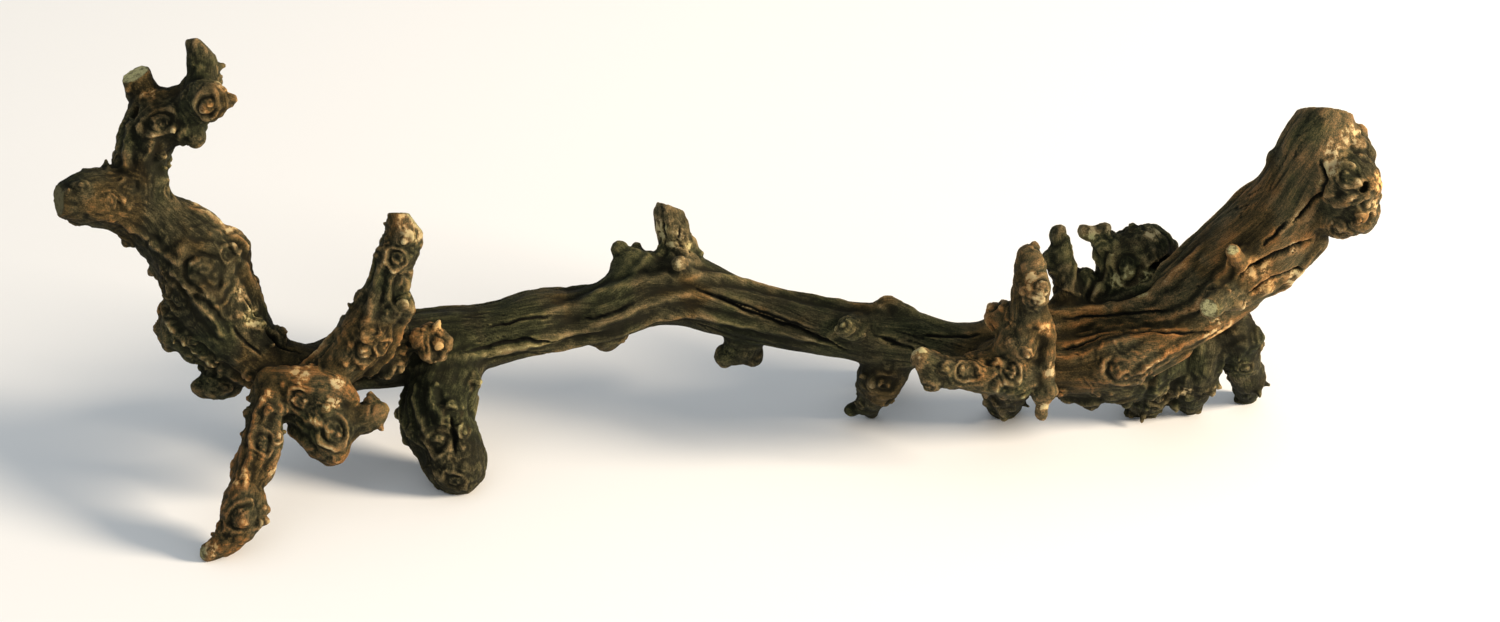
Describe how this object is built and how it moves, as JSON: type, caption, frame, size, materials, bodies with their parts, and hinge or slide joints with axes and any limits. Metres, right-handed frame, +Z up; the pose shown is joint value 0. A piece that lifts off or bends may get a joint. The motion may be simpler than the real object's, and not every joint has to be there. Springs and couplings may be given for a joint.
{
  "type": "driftwood",
  "caption": "Knotty length of weathered grapevine wood that stands on its own legs and roots, for decor, terrariums and perches.",
  "frame": {"origin": "centre of the footprint of the whole piece, on the surface that it stands on", "axes": "+X to the right along the stem, +Y to the back, +Z up"},
  "size_m": [0.6559, 0.1843, 0.2226],
  "materials": {
    "weathered_wood": "dry, weathered and sandblasted, dark olive brown with worn tan ridges and pale sawn ends"
  },
  "bodies": {
    "root": {"driftwood": "weathered_wood"}
  },
  "joints": []
}
